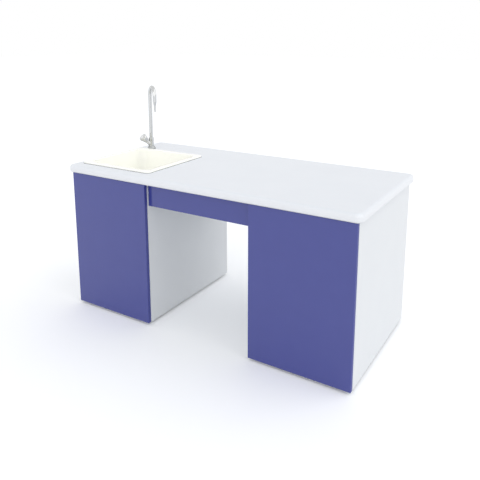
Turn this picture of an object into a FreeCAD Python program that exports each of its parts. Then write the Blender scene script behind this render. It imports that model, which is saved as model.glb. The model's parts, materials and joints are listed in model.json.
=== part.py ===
import FreeCAD, Part
import os
from types import SimpleNamespace

import Sketcher

# Laboratory teacher desk: a worktop with a sink and a swan-neck tap on two cabinets, with a
# shallow drawer between them. Millimetres. X runs along the desk, the user stands at -Y, Z is up.
# The origin is on the floor, under the middle of the worktop.

# Driving dimensions: the sheet gets one row for each of them.
SIZES = {
    # whole desk
    "desk_height": 750,
    "carcass_width": 1500,
    "carcass_depth": 700,
    "pedestal_width": 470,
    "foot_height": 12,
    # boards
    "board": 16,
    "door_board": 18,
    "board_edge": 0.8,
    "door_edge": 1,
    "door_gap": 2,
    "rail_height": 80,
    "apron_height": 100,
    "apron_setback": 60,
    "block_side": 20,
    # worktop
    "top_thickness": 38,
    "side_overhang": 20,
    "front_overhang": 15,
    "back_overhang": 10,
    "top_corner": 28,
    "top_edge_upper": 15,
    "top_edge_lower": 10,
    # sink
    "sink_side_margin": 16,
    "sink_depth": 445,
    "sink_from_front": 48,
    "rim_width": 22,
    "rim_height": 6,
    "rim_corner": 22,
    "rim_rounding": 2.5,
    "bowl_depth": 165,
    "bowl_wall": 5,
    "bowl_corner": 45,
    "bowl_floor_round": 28,
    "cutout_clearance": 3,
    "seal_height": 1,
    "seal_proud": 1,
    "clip_reach": 18,
    "clip_width": 30,
    "clip_height": 8,
    # drain
    "strainer_radius": 36,
    "strainer_lip": 3,
    "strainer_dish": 2,
    "drain_radius": 21,
    "drain_wall": 2.5,
    "drain_length": 45,
    "drain_clearance": 0.5,
    "grid_drop": 5,
    "grid_thickness": 2.5,
    "grid_hole_radius": 2.2,
    "grid_inner_ring": 6.5,
    "grid_outer_ring": 13,
    "gasket_radius": 31,
    "gasket_height": 3,
    "nut_radius": 34,
    "nut_height": 12,
    "grip_radius": 4,
    "grip_depth": 1.5,
    # trap and waste pipe
    "trap_radius": 38,
    "trap_wall": 3,
    "trap_neck_radius": 27,
    "trap_neck_height": 26,
    "trap_shoulder": 12,
    "trap_body_height": 62,
    "cup_height": 66,
    "cup_radius": 34,
    "cup_ring_height": 14,
    "stub_radius": 25,
    "stub_reach": 58,
    "stub_drop": 62,
    "pipe_radius": 20,
    "pipe_wall": 2,
    "drop_from_back": 112,
    "elbow_radius": 38,
    "pipe_above_floor": 6,
    "pipe_socket_length": 45,
    "pipe_bead": 3,
    "pipe_bead_width": 6,
    "service_opening": 150,
    "service_corner": 12,
    # tap
    "tap_from_sink_side": 57.5,
    "tap_rim_gap": 4,
    "tap_fit": 0.1,
    "tap_gasket_height": 1.5,
    "tap_gasket_radius": 21,
    "flange_radius": 23,
    "flange_height": 15,
    "flange_lip": 3,
    "flange_neck": 1.5,
    "flange_rounding": 1,
    "tap_body_radius": 14,
    "tap_body_height": 48,
    "tap_bore_radius": 5,
    "shank_radius": 10,
    "shank_below_top": 24,
    "shank_clearance": 1.2,
    "tail_radius": 7.5,
    "tail_length": 32,
    "back_washer_radius": 20,
    "back_washer_height": 3,
    "back_nut_radius": 17,
    "back_nut_height": 9,
    "collar_radius": 14.8,
    "collar_height": 14,
    "collar_rounding": 1.5,
    "spout_radius": 10.5,
    "spout_wall": 1.5,
    "spout_running": 0.08,
    "spout_end_gap": 0.3,
    "arch_radius": 45,
    "arch_height": 309,
    "leg_length": 28,
    "nozzle_length": 59,
    "nozzle_band": 3,
    "nozzle_cone": 22,
    "nozzle_top_radius": 6.2,
    "nozzle_tip_radius": 4.4,
    "nozzle_bore_radius": 3,
    "nozzle_rib": 0.7,
    # valve and handle
    "handle_start_height": 19,
    "branch_radius": 10.6,
    "branch_length": 32,
    "bonnet_radius": 11,
    "bonnet_length": 8,
    "bonnet_bevel": 2,
    "spindle_radius": 4,
    "spindle_running": 0.05,
    "spindle_length": 26,
    "spindle_depth": 6,
    "handle_gap": 0.6,
    "handle_length": 37,
    "handle_neck_radius": 13.5,
    "handle_neck_length": 3,
    "handle_radius": 22,
    "handle_waist": 10,
    "handle_rounding": 3,
    "flute_radius": 7,
    "flute_depth": 2.2,
    "cap_radius": 11,
    "cap_height": 1.2,
    # door hinges and latches
    "pivot_inset": 5.5,
    "pin_radius": 2.5,
    "pin_length": 12,
    "pin_running": 0.05,
    "bush_radius": 3.5,
    "bush_length": 15,
    "bush_fit": 0.02,
    "plate_thickness": 2.5,
    "plate_margin": 1,
    "plate_run": 45,
    "plate_span": 60,
    "pivot_clearance": 0.5,
    "latch_width": 14,
    "latch_height": 20,
    "latch_length": 64,
    "latch_setback": 1,
    "latch_below_rail": 25,
    "plunger_radius": 4,
    "plunger_depth": 48,
    "plunger_running": 0.1,
    "plunger_rest_gap": 0.3,
    "plunger_tip": 0.8,
    "strike_radius": 7,
    "strike_thickness": 1,
    "bumper_radius": 4,
    "bumper_height": 1.7,
    "bumper_from_end": 40,
    # shelf and glides
    "shelf_height": 330,
    "shelf_side_gap": 1,
    "shelf_setback": 30,
    "peg_radius": 2.5,
    "peg_depth": 9,
    "peg_fit": 0.05,
    "peg_from_edge": 60,
    "rest_reach": 9,
    "rest_width": 12,
    "rest_thickness": 4,
    "glide_radius": 14,
    "glide_foot_radius": 11,
    "glide_bevel": 2,
    "glide_from_side": 24,
    "glide_from_end": 40,
    # drawer and its slides
    "drawer_recess": 26,
    "drawer_side_gap": 2,
    "drawer_top_gap": 4,
    "drawer_front_height": 105,
    "drawer_board": 12,
    "drawer_box_height": 76,
    "drawer_box_rise": 14,
    "drawer_depth": 450,
    "drawer_bottom_thickness": 4,
    "drawer_bottom_rise": 8,
    "groove_depth": 5,
    "groove_fit": 0.2,
    "slide_width": 13,
    "slide_height": 45,
    "slide_steel": 1.2,
    "slide_length": 440,
    "slide_setback": 3,
    "slide_web_gap": 0.6,
    "slide_flange": 8.6,
    "cage_thickness": 2.4,
    "cage_width": 4.6,
    "cage_inset": 0.7,
    "slide_running": 0.3,
}

# Directions in degrees: the azimuths are measured from the front of the desk towards +X.
SPOUT_AZIMUTH = 57
HANDLE_AZIMUTH = -25
HANDLE_TILT = 45
FULL_TURN = 360
QUARTER_TURN = 90

# Counts, and shares of one rib's pitch
GRID_INNER_HOLES = 6
GRID_OUTER_HOLES = 12
HANDLE_FLUTES = 8
NUT_GRIPS = 12
NOZZLE_RIBS = 5
RIB_START = 0.5
RIB_SLOPE = 0.7
RIB_CREST = 0.85

X_AXIS = FreeCAD.Vector(1, 0, 0)
Y_AXIS = FreeCAD.Vector(0, 1, 0)
Z_AXIS = FreeCAD.Vector(0, 0, 1)
UPRIGHT = FreeCAD.Rotation()
ALONG_X = FreeCAD.Rotation(Y_AXIS, QUARTER_TURN)
ALONG_Y = FreeCAD.Rotation(X_AXIS, -QUARTER_TURN)
TOUCH = 0.001


class Size:
    """A size that carries its number and its formula over the sheet."""

    def __init__(self, number, formula):
        self.number = number
        self.formula = formula

    def __add__(self, other):
        other = as_size(other)
        return Size(self.number + other.number, f"({self.formula} + {other.formula})")

    def __sub__(self, other):
        other = as_size(other)
        return Size(self.number - other.number, f"({self.formula} - {other.formula})")

    def __mul__(self, factor):
        return Size(self.number * factor, f"({self.formula} * {factor})")

    def __truediv__(self, divisor):
        return Size(self.number / divisor, f"({self.formula} / {divisor})")

    def __neg__(self):
        return Size(-self.number, f"(0 - {self.formula})")

    def __rsub__(self, other):
        return as_size(other) - self

    __radd__ = __add__
    __rmul__ = __mul__


def as_size(value):
    return value if isinstance(value, Size) else Size(float(value), str(value))


doc = FreeCAD.newDocument("lab_teacher_desk")
sheet = doc.addObject("Spreadsheet::Sheet", "Sizes")
for row, (word, number) in enumerate(SIZES.items(), 1):
    sheet.set(f"A{row}", word)
    sheet.set(f"B{row}", str(number))
    sheet.setAlias(f"B{row}", word)
doc.recompute()
d = SimpleNamespace(**{word: Size(float(number), f"Sizes.{word}") for word, number in SIZES.items()})

# Planes that several pieces share.
left = -d.carcass_width / 2
right = d.carcass_width / 2
top_length = d.carcass_width + d.side_overhang * 2
top_depth = d.front_overhang + d.carcass_depth + d.back_overhang
door_front = d.front_overhang - top_depth / 2
door_back = door_front + d.door_board
carcass_front = door_back + d.door_gap
back = door_front + d.carcass_depth
panel_depth = d.carcass_depth - d.door_board - d.door_gap
under_top = d.desk_height - d.top_thickness
panel_height = under_top - d.foot_height
knee_left = left + d.pedestal_width
knee_width = d.carcass_width - d.pedestal_width * 2
storage_left = right - d.pedestal_width
inside_width = d.pedestal_width - d.board * 2

nodes = []


def keep(piece, name):
    """Give a finished sub-part its name and put it on the list of pieces."""
    piece.Label = name
    nodes.append(piece)
    return piece


def bind(thing, path, size):
    thing.setExpression(path, as_size(size).formula)


def seat(thing, point):
    for axis, size in zip("xyz", point):
        bind(thing, f"Placement.Base.{axis}", size)


def new_body(name):
    return doc.addObject("PartDesign::Body", f"{name}_body")


def origin_item(body, role):
    return [item for item in body.Origin.OriginFeatures if item.Role == role][0]


def add_block(body, corner, span, cut=False):
    kind = "PartDesign::SubtractiveBox" if cut else "PartDesign::AdditiveBox"
    block = body.newObject(kind, f"{body.Name}_block")
    for side, size in zip(("Length", "Width", "Height"), span):
        bind(block, side, size)
    seat(block, corner)
    return block


def add_rod(body, foot, radius, length, turn=UPRIGHT, cut=False):
    kind = "PartDesign::SubtractiveCylinder" if cut else "PartDesign::AdditiveCylinder"
    rod = body.newObject(kind, f"{body.Name}_rod")
    rod.Placement = FreeCAD.Placement(FreeCAD.Vector(), turn)
    bind(rod, "Radius", radius)
    bind(rod, "Height", length)
    seat(rod, foot)
    return rod


def round_edges(body, radius, chosen=None):
    """Round the chosen edges of what the body holds so far, or all of them."""
    doc.recompute()
    base = body.Tip
    rounding = body.newObject("PartDesign::Fillet", f"{body.Name}_rounding")
    if chosen is None:
        rounding.Base = (base, ["Edge1"])
        rounding.UseAllEdges = True
    else:
        edges = enumerate(base.Shape.Edges, 1)
        rounding.Base = (base, [f"Edge{number}" for number, edge in edges if chosen(edge)])
    bind(rounding, "Radius", radius)
    return rounding


def at_height(height):
    """A test for the edges that lie flat at one height."""
    level = as_size(height).number
    return lambda edge: abs(edge.BoundBox.ZMin - level) < TOUCH and abs(edge.BoundBox.ZMax - level) < TOUCH


def upright_at(corner, span):
    """A test for the upright edges at the four corners of a rectangle."""
    xs = (as_size(corner[0]).number, as_size(corner[0] + span[0]).number)
    ys = (as_size(corner[1]).number, as_size(corner[1] + span[1]).number)

    def chosen(edge):
        box = edge.BoundBox
        narrow = box.XLength < TOUCH and box.YLength < TOUCH
        on_x = min(abs(box.XMin - x) for x in xs) < TOUCH
        on_y = min(abs(box.YMin - y) for y in ys) < TOUCH
        return narrow and on_x and on_y

    return chosen


def board(name, corner, span, rounding=d.board_edge):
    """A flat board with its arrises eased."""
    body = new_body(name)
    add_block(body, corner, span)
    round_edges(body, rounding)
    return body


def block(name, corner, span):
    """A plain rectangular piece."""
    box = doc.addObject("Part::Box", name)
    for side, size in zip(("Length", "Width", "Height"), span):
        bind(box, side, size)
    seat(box, corner)
    return box


def turned(name, outline, place=(0, 0, 0), turn=UPRIGHT):
    """A piece of revolution: the outline is a list of (radius, height) about the piece's own axis."""
    body = new_body(name)
    sketch = body.newObject("Sketcher::SketchObject", f"{name}_profile")
    sketch.AttachmentSupport = (origin_item(body, "XZ_Plane"), [""])
    sketch.MapMode = "FlatFace"
    points = [FreeCAD.Vector(as_size(r).number, as_size(z).number, 0) for r, z in outline]
    for start, end in zip(points, points[1:] + points[:1]):
        sketch.addGeometry(Part.LineSegment(start, end))
    for index in range(len(points)):
        before = (index - 1) % len(points)
        sketch.addConstraint(Sketcher.Constraint("Coincident", before, 2, index, 1))
    for index, (radius, height) in enumerate(outline):
        for kind, size, axis in (("DistanceX", as_size(radius), -2), ("DistanceY", as_size(height), -1)):
            if size.number == 0:
                sketch.addConstraint(Sketcher.Constraint("PointOnObject", index, 1, axis))
            else:
                rule = Sketcher.Constraint(kind, -1, 1, index, 1, size.number)
                bind(sketch, f"Constraints[{sketch.addConstraint(rule)}]", size)
    spin = body.newObject("PartDesign::Revolution", f"{name}_turn")
    spin.Profile = sketch
    spin.ReferenceAxis = (sketch, ["V_Axis"])
    spin.Angle = FULL_TURN
    body.Placement = FreeCAD.Placement(FreeCAD.Vector(), turn)
    seat(body, place)
    return body


def ring(name, inner, outer, height, place, turn=UPRIGHT):
    return turned(name, [(inner, 0), (outer, 0), (outer, height), (inner, height)], place, turn)


def disc(name, radius, height, place, turn=UPRIGHT):
    return turned(name, [(0, 0), (radius, 0), (radius, height), (0, height)], place, turn)


def repeat_round(body, feature, count):
    """Repeat a cut round the body's own upright axis."""
    pattern = body.newObject("PartDesign::PolarPattern", f"{feature.Name}_round")
    pattern.Originals = [feature]
    pattern.Axis = (origin_item(body, "Z_Axis"), [""])
    pattern.Angle = FULL_TURN
    pattern.Occurrences = count
    body.Tip = pattern


def group(name, members):
    """Like pieces that share one name, as separate solids."""
    bundle = doc.addObject("Part::Compound", f"{name}_group")
    bundle.Links = members
    return keep(bundle, name)


# Worktop
sink_width = d.pedestal_width - d.sink_side_margin * 2
sink_corner = (left + d.sink_side_margin, door_front + d.sink_from_front)
bowl_corner_point = (sink_corner[0] + d.rim_width, sink_corner[1] + d.rim_width)
bowl_span = (sink_width - d.rim_width * 2, d.sink_depth - d.rim_width * 2)
cutout_corner = tuple(value - d.cutout_clearance for value in bowl_corner_point)
cutout_span = tuple(value + d.cutout_clearance * 2 for value in bowl_span)
outer_bowl_corner = d.bowl_corner + d.bowl_wall
tap_x = sink_corner[0] + d.tap_from_sink_side
tap_y = sink_corner[1] + d.sink_depth + d.tap_rim_gap + d.flange_radius


def make_worktop():
    body = new_body("worktop")
    corner = (-top_length / 2, -top_depth / 2, under_top)
    span = (top_length, top_depth, d.top_thickness)
    add_block(body, corner, span)
    round_edges(body, d.top_corner, upright_at(corner, span))
    round_edges(body, d.top_edge_upper, at_height(d.desk_height))
    round_edges(body, d.top_edge_lower, at_height(under_top))
    add_block(body, (*cutout_corner, under_top), (*cutout_span, d.top_thickness), cut=True)
    round_edges(body, outer_bowl_corner + d.cutout_clearance, upright_at(cutout_corner, cutout_span))
    hole_radius = d.shank_radius + d.shank_clearance
    add_rod(body, (tap_x, tap_y, under_top), hole_radius, d.top_thickness, cut=True)
    keep(body, "worktop")


# Sink with its seal, clips and drain
rim_bottom = d.desk_height + d.seal_height
rim_top = rim_bottom + d.rim_height
bowl_floor = rim_top - d.bowl_depth
bowl_bottom = bowl_floor - d.bowl_wall
drain_x = sink_corner[0] + sink_width / 2
drain_y = sink_corner[1] + d.sink_depth / 2


def make_sink():
    body = new_body("sink_bowl")
    rim_span = (sink_width, d.sink_depth, d.rim_height)
    add_block(body, (*sink_corner, rim_bottom), rim_span)
    add_block(body, (*bowl_corner_point, bowl_bottom), (*bowl_span, rim_bottom - bowl_bottom))
    round_edges(body, d.rim_corner, upright_at(sink_corner, rim_span))
    round_edges(body, outer_bowl_corner, upright_at(bowl_corner_point, bowl_span))
    round_edges(body, d.bowl_floor_round + d.bowl_wall, at_height(bowl_bottom))
    inner_corner = tuple(value + d.bowl_wall for value in bowl_corner_point)
    inner_span = tuple(value - d.bowl_wall * 2 for value in bowl_span)
    hollow = new_body("sink_hollow")
    add_block(hollow, (*inner_corner, bowl_floor), (*inner_span, d.bowl_depth))
    round_edges(hollow, d.bowl_corner, upright_at(inner_corner, inner_span))
    round_edges(hollow, d.bowl_floor_round, at_height(bowl_floor))
    doc.recompute()
    scoop = body.newObject("PartDesign::Boolean", "sink_scoop")
    scoop.Type = "Cut"
    scoop.setObjects([hollow])
    round_edges(body, d.rim_rounding, at_height(rim_top))
    add_rod(body, (drain_x, drain_y, bowl_bottom), d.drain_radius + d.drain_clearance, d.bowl_wall, cut=True)
    keep(body, "sink_bowl")


def make_sink_seal():
    body = new_body("sink_seal")
    corner = tuple(value - d.seal_proud for value in sink_corner)
    span = (sink_width + d.seal_proud * 2, d.sink_depth + d.seal_proud * 2)
    add_block(body, (*corner, d.desk_height), (*span, d.seal_height))
    round_edges(body, d.rim_corner + d.seal_proud, upright_at(corner, span))
    add_block(body, (*cutout_corner, d.desk_height), (*cutout_span, d.seal_height), cut=True)
    round_edges(body, outer_bowl_corner + d.cutout_clearance, upright_at(cutout_corner, cutout_span))
    keep(body, "sink_seal")


def make_sink_clips():
    """A clamp under the worktop at the middle of each side of the bowl."""
    low = under_top - d.clip_height
    half = d.clip_width / 2
    across = (d.clip_width, d.clip_reach, d.clip_height)
    along = (d.clip_reach, d.clip_width, d.clip_height)
    bowl_end = tuple(start + span for start, span in zip(bowl_corner_point, bowl_span))
    clips = [
        block("clip_front", (drain_x - half, bowl_corner_point[1] - d.clip_reach, low), across),
        block("clip_back", (drain_x - half, bowl_end[1], low), across),
        block("clip_left", (bowl_corner_point[0] - d.clip_reach, drain_y - half, low), along),
        block("clip_right", (bowl_end[0], drain_y - half, low), along),
    ]
    group("sink_clips", clips)


def make_drain():
    bore = d.drain_radius - d.drain_wall
    outline = [
        (0, -d.grid_drop - d.grid_thickness),
        (bore, -d.grid_drop - d.grid_thickness),
        (bore, -d.drain_length),
        (d.drain_radius, -d.drain_length),
        (d.drain_radius, 0),
        (d.strainer_radius, 0),
        (d.strainer_radius - d.strainer_lip, d.strainer_lip),
        (d.drain_radius + d.strainer_lip, d.strainer_lip),
        (bore, d.strainer_lip - d.strainer_dish),
        (bore, -d.grid_drop),
        (0, -d.grid_drop),
    ]
    strainer = turned("sink_strainer", outline, (drain_x, drain_y, bowl_floor))
    low = -d.grid_drop - d.grid_thickness
    add_rod(strainer, (0, 0, low), d.grid_hole_radius, d.grid_thickness, cut=True)
    inner = add_rod(strainer, (d.grid_inner_ring, 0, low), d.grid_hole_radius, d.grid_thickness, cut=True)
    repeat_round(strainer, inner, GRID_INNER_HOLES)
    outer = add_rod(strainer, (d.grid_outer_ring, 0, low), d.grid_hole_radius, d.grid_thickness, cut=True)
    repeat_round(strainer, outer, GRID_OUTER_HOLES)
    keep(strainer, "sink_strainer")
    hole = d.drain_radius + d.drain_clearance
    gasket_low = bowl_bottom - d.gasket_height
    gasket = ring("strainer_gasket", hole, d.gasket_radius, d.gasket_height, (drain_x, drain_y, gasket_low))
    keep(gasket, "strainer_gasket")
    nut_low = gasket_low - d.nut_height
    nut = ring("strainer_nut", hole, d.nut_radius, d.nut_height, (drain_x, drain_y, nut_low))
    cut_grips(nut, d.nut_radius, 0, d.nut_height)
    keep(nut, "strainer_nut")


trap_top = bowl_floor - d.drain_length


def make_trap():
    """A bottle trap: the body hangs from the drain, the cup screws on below it."""
    neck_low = -d.trap_neck_height
    body_top = neck_low - d.trap_shoulder
    body_low = body_top - d.trap_body_height
    outline = [
        (d.drain_radius - d.drain_wall, 0),
        (d.trap_neck_radius, 0),
        (d.trap_neck_radius, neck_low),
        (d.trap_radius, body_top),
        (d.trap_radius, body_low),
        (d.trap_radius - d.trap_wall, body_low),
        (d.trap_radius - d.trap_wall, body_top),
        (d.drain_radius - d.drain_wall, neck_low),
    ]
    trap = turned("trap_body", outline, (drain_x, drain_y, trap_top))
    stub_start = d.trap_radius - d.trap_wall
    stub_height = -d.stub_drop
    stub_length = d.stub_reach - stub_start
    add_rod(trap, (0, stub_start, stub_height), d.stub_radius, stub_length, ALONG_Y)
    add_rod(trap, (0, 0, stub_height), d.pipe_radius - d.pipe_wall, d.stub_reach, ALONG_Y, cut=True)
    keep(trap, "trap_body")
    floor = -d.cup_height
    cup_outline = [
        (0, floor),
        (d.cup_radius - d.trap_wall, floor),
        (d.cup_radius, floor + d.trap_wall),
        (d.cup_radius, -d.cup_ring_height),
        (d.trap_radius + d.trap_wall, -d.cup_ring_height),
        (d.trap_radius + d.trap_wall, 0),
        (d.cup_radius - d.trap_wall, 0),
        (d.cup_radius - d.trap_wall, floor + d.trap_wall),
        (0, floor + d.trap_wall),
    ]
    cup = turned("trap_cup", cup_outline, (drain_x, drain_y, trap_top + body_low))
    cut_grips(cup, d.trap_radius + d.trap_wall, -d.cup_ring_height, d.cup_ring_height)
    keep(cup, "trap_cup")


def cut_grips(nut, radius, low, height):
    """Finger grips round a hand-tightened nut."""
    place = (radius + d.grip_radius - d.grip_depth, 0, low)
    repeat_round(nut, add_rod(nut, place, d.grip_radius, height, cut=True), NUT_GRIPS)


waste_z = trap_top - d.stub_drop
drop_y = back - d.drop_from_back


def elbow_bend(name, radius):
    """A quarter bend from level to straight down."""
    bend = doc.addObject("Part::Torus", name)
    bind(bend, "Radius1", d.elbow_radius)
    bind(bend, "Radius2", radius)
    bend.Angle3 = QUARTER_TURN
    bend.Placement = FreeCAD.Placement(FreeCAD.Vector(), FreeCAD.Rotation(Y_AXIS, -QUARTER_TURN))
    seat(bend, (drain_x, drop_y - d.elbow_radius, waste_z - d.elbow_radius))
    return bend


def make_waste():
    """A level pipe to the rear, an elbow, and a drop pipe that ends below the cabinet floor."""
    bore = d.pipe_radius - d.pipe_wall
    level_start = drain_y + d.stub_reach
    level_length = drop_y - d.elbow_radius - level_start
    level_place = (drain_x, level_start, waste_z)
    level = ring("waste_level_pipe", bore, d.pipe_radius, level_length, level_place, ALONG_Y)
    keep(level, "waste_level_pipe")
    elbow = doc.addObject("Part::Cut", "waste_elbow_cut")
    elbow.Base = elbow_bend("elbow_outside", d.pipe_radius + d.pipe_bead)
    elbow.Tool = elbow_bend("elbow_inside", bore)
    keep(elbow, "waste_elbow")
    length = waste_z - d.elbow_radius - d.pipe_above_floor
    bead_low = d.pipe_socket_length
    bead_high = bead_low + d.pipe_bead_width
    outline = [
        (bore, 0),
        (d.pipe_radius, 0),
        (d.pipe_radius, bead_low),
        (d.pipe_radius + d.pipe_bead, bead_low),
        (d.pipe_radius + d.pipe_bead, bead_high),
        (d.pipe_radius, bead_high),
        (d.pipe_radius, length),
        (bore, length),
    ]
    drop = turned("waste_drop_pipe", outline, (drain_x, drop_y, d.pipe_above_floor))
    keep(drop, "waste_drop_pipe")


# Tap: heights are measured from the worktop's upper face, about the tap's own upright axis
tap_foot = (tap_x, tap_y, d.desk_height)
tap_body_top = d.tap_gasket_height + d.tap_body_height
spout_turn = FreeCAD.Rotation(Z_AXIS, SPOUT_AZIMUTH - QUARTER_TURN)
handle_turn = FreeCAD.Rotation(Z_AXIS, HANDLE_AZIMUTH - QUARTER_TURN)
handle_lean = handle_turn.multiply(FreeCAD.Rotation(Y_AXIS, HANDLE_TILT))
handle_foot = (tap_x, tap_y, d.desk_height + d.handle_start_height)


def make_tap_body():
    shank_low = -d.top_thickness - d.shank_below_top
    outline = [
        (d.tap_bore_radius, shank_low - d.tail_length),
        (d.tail_radius, shank_low - d.tail_length),
        (d.tail_radius, shank_low),
        (d.shank_radius, shank_low),
        (d.shank_radius, d.tap_gasket_height),
        (d.tap_body_radius, d.tap_gasket_height),
        (d.tap_body_radius, tap_body_top),
        (d.tap_bore_radius, tap_body_top),
    ]
    body = turned("tap_body", outline, tap_foot)
    add_rod(body, (0, 0, d.handle_start_height), d.branch_radius, d.branch_length, handle_lean)
    bore_depth = tap_body_top - d.tap_gasket_height
    add_rod(body, (0, 0, d.tap_gasket_height), d.tap_bore_radius, bore_depth, cut=True)
    keep(body, "tap_body")


def make_tap_fixings():
    gasket_hole = d.shank_radius + d.shank_clearance
    gasket = ring("tap_gasket", gasket_hole, d.tap_gasket_radius, d.tap_gasket_height, tap_foot)
    keep(gasket, "tap_gasket")
    hole = d.tap_body_radius + d.tap_fit
    flange_top = d.tap_gasket_height + d.flange_height
    outline = [
        (hole, d.tap_gasket_height),
        (d.flange_radius, d.tap_gasket_height),
        (d.flange_radius, d.tap_gasket_height + d.flange_lip),
        (hole + d.flange_neck, flange_top),
        (hole, flange_top),
    ]
    flange = turned("tap_flange", outline, tap_foot)
    round_edges(flange, d.flange_rounding, at_height(d.tap_gasket_height + d.flange_lip))
    keep(flange, "tap_flange")
    washer_low = under_top - d.back_washer_height
    fit = d.shank_radius + d.tap_fit
    washer_place = (tap_x, tap_y, washer_low)
    washer = ring("tap_back_washer", fit, d.back_washer_radius, d.back_washer_height, washer_place)
    keep(washer, "tap_back_washer")
    nut_low = washer_low - d.back_nut_height
    nut = ring("tap_back_nut", fit, d.back_nut_radius, d.back_nut_height, (tap_x, tap_y, nut_low))
    keep(nut, "tap_back_nut")


def make_collar():
    bore = d.spout_radius + d.spout_running
    height = d.collar_height
    collar = ring("tap_collar", bore, d.collar_radius, height, (tap_x, tap_y, d.desk_height + tap_body_top))
    round_edges(collar, d.collar_rounding, lambda edge: at_height(0)(edge) or at_height(height)(edge))
    keep(collar, "tap_collar")


def spout_tube(name, radius, overrun):
    """Column, half-round arch and hanging leg in one plane, with the reach along the piece's own +X."""
    foot = tap_body_top + d.spout_end_gap - overrun
    column = doc.addObject("Part::Cylinder", f"{name}_column")
    bind(column, "Radius", radius)
    bind(column, "Height", d.arch_height - foot)
    seat(column, (0, 0, foot))
    arch = doc.addObject("Part::Torus", f"{name}_arch")
    bind(arch, "Radius1", d.arch_radius)
    bind(arch, "Radius2", radius)
    arch.Angle3 = FULL_TURN / 2
    arch.Placement = FreeCAD.Placement(FreeCAD.Vector(), FreeCAD.Rotation(X_AXIS, QUARTER_TURN))
    seat(arch, (d.arch_radius, 0, d.arch_height))
    leg = doc.addObject("Part::Cylinder", f"{name}_leg")
    bind(leg, "Radius", radius)
    bind(leg, "Height", d.leg_length + overrun)
    seat(leg, (d.arch_radius * 2, 0, d.arch_height - d.leg_length - overrun))
    tube = doc.addObject("Part::MultiFuse", name)
    tube.Shapes = [column, arch, leg]
    tube.Refine = True
    return tube


def make_spout():
    spout = doc.addObject("Part::Cut", "spout_cut")
    spout.Base = spout_tube("spout_outside", d.spout_radius, 0)
    spout.Tool = spout_tube("spout_inside", d.spout_radius - d.spout_wall, d.spout_wall)
    spout.Placement = FreeCAD.Placement(FreeCAD.Vector(), spout_turn)
    seat(spout, tap_foot)
    keep(spout, "tap_spout")


def make_nozzle():
    """A tapered hose nozzle with a row of ribs, screwed into the spout's hanging end."""
    cone_low = d.nozzle_band + d.nozzle_cone
    rib_pitch = (d.nozzle_length - cone_low) / (NOZZLE_RIBS + 1)
    taper = (d.nozzle_top_radius - d.nozzle_tip_radius) / (NOZZLE_RIBS + 1)
    outline = [(d.nozzle_bore_radius, -d.nozzle_length), (d.nozzle_tip_radius, -d.nozzle_length)]
    for number in range(NOZZLE_RIBS):
        low = rib_pitch * (number + RIB_START) - d.nozzle_length
        radius = d.nozzle_tip_radius + taper * number
        outline.append((radius, low))
        outline.append((radius + d.nozzle_rib, low + rib_pitch * RIB_SLOPE))
        outline.append((radius + d.nozzle_rib, low + rib_pitch * RIB_CREST))
    outline.append((d.nozzle_top_radius, -cone_low))
    outline.append((d.spout_radius, -d.nozzle_band))
    outline.append((d.spout_radius, 0))
    outline.append((d.nozzle_bore_radius, 0))
    reach = spout_turn.multVec(X_AXIS)
    end = d.arch_radius * 2
    place = (tap_x + end * reach.x, tap_y + end * reach.y, d.desk_height + d.arch_height - d.leg_length)
    keep(turned("tap_nozzle", outline, place), "tap_nozzle")


def make_valve():
    """Bonnet, spindle, handle and cap in line on the leaning branch."""
    bonnet_end = d.branch_length + d.bonnet_length
    spindle_bore = d.spindle_radius + d.spindle_running
    spindle_start = bonnet_end - d.spindle_depth
    bonnet_outline = [
        (0, d.branch_length),
        (d.bonnet_radius, d.branch_length),
        (d.bonnet_radius, bonnet_end - d.bonnet_bevel),
        (d.bonnet_radius - d.bonnet_bevel, bonnet_end),
        (spindle_bore, bonnet_end),
        (spindle_bore, spindle_start - d.spindle_running),
        (0, spindle_start - d.spindle_running),
    ]
    keep(turned("valve_bonnet", bonnet_outline, handle_foot, handle_lean), "valve_bonnet")
    spindle_end = spindle_start + d.spindle_length
    spindle_outline = [
        (0, spindle_start),
        (d.spindle_radius, spindle_start),
        (d.spindle_radius, spindle_end),
        (0, spindle_end),
    ]
    keep(turned("valve_spindle", spindle_outline, handle_foot, handle_lean), "valve_spindle")
    handle_start = bonnet_end + d.handle_gap
    handle_end = handle_start + d.handle_length
    handle_outline = [
        (spindle_bore, handle_start),
        (d.handle_neck_radius, handle_start),
        (d.handle_neck_radius, handle_start + d.handle_neck_length),
        (d.handle_radius, handle_end - d.handle_waist),
        (d.handle_radius, handle_end),
        (0, handle_end),
        (0, spindle_end + d.spindle_running),
        (spindle_bore, spindle_end + d.spindle_running),
    ]
    handle = turned("tap_handle", handle_outline, handle_foot, handle_lean)
    round_edges(handle, d.handle_rounding, at_height(handle_end))
    flute_place = (d.handle_radius + d.flute_radius - d.flute_depth, 0, handle_start)
    flute = add_rod(handle, flute_place, d.flute_radius, d.handle_length, cut=True)
    repeat_round(handle, flute, HANDLE_FLUTES)
    keep(handle, "tap_handle")
    cap_outline = [
        (0, handle_end),
        (d.cap_radius, handle_end),
        (d.cap_radius - d.cap_height / 2, handle_end + d.cap_height),
        (0, handle_end + d.cap_height),
    ]
    keep(turned("handle_cap", cap_outline, handle_foot, handle_lean), "handle_cap")


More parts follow.
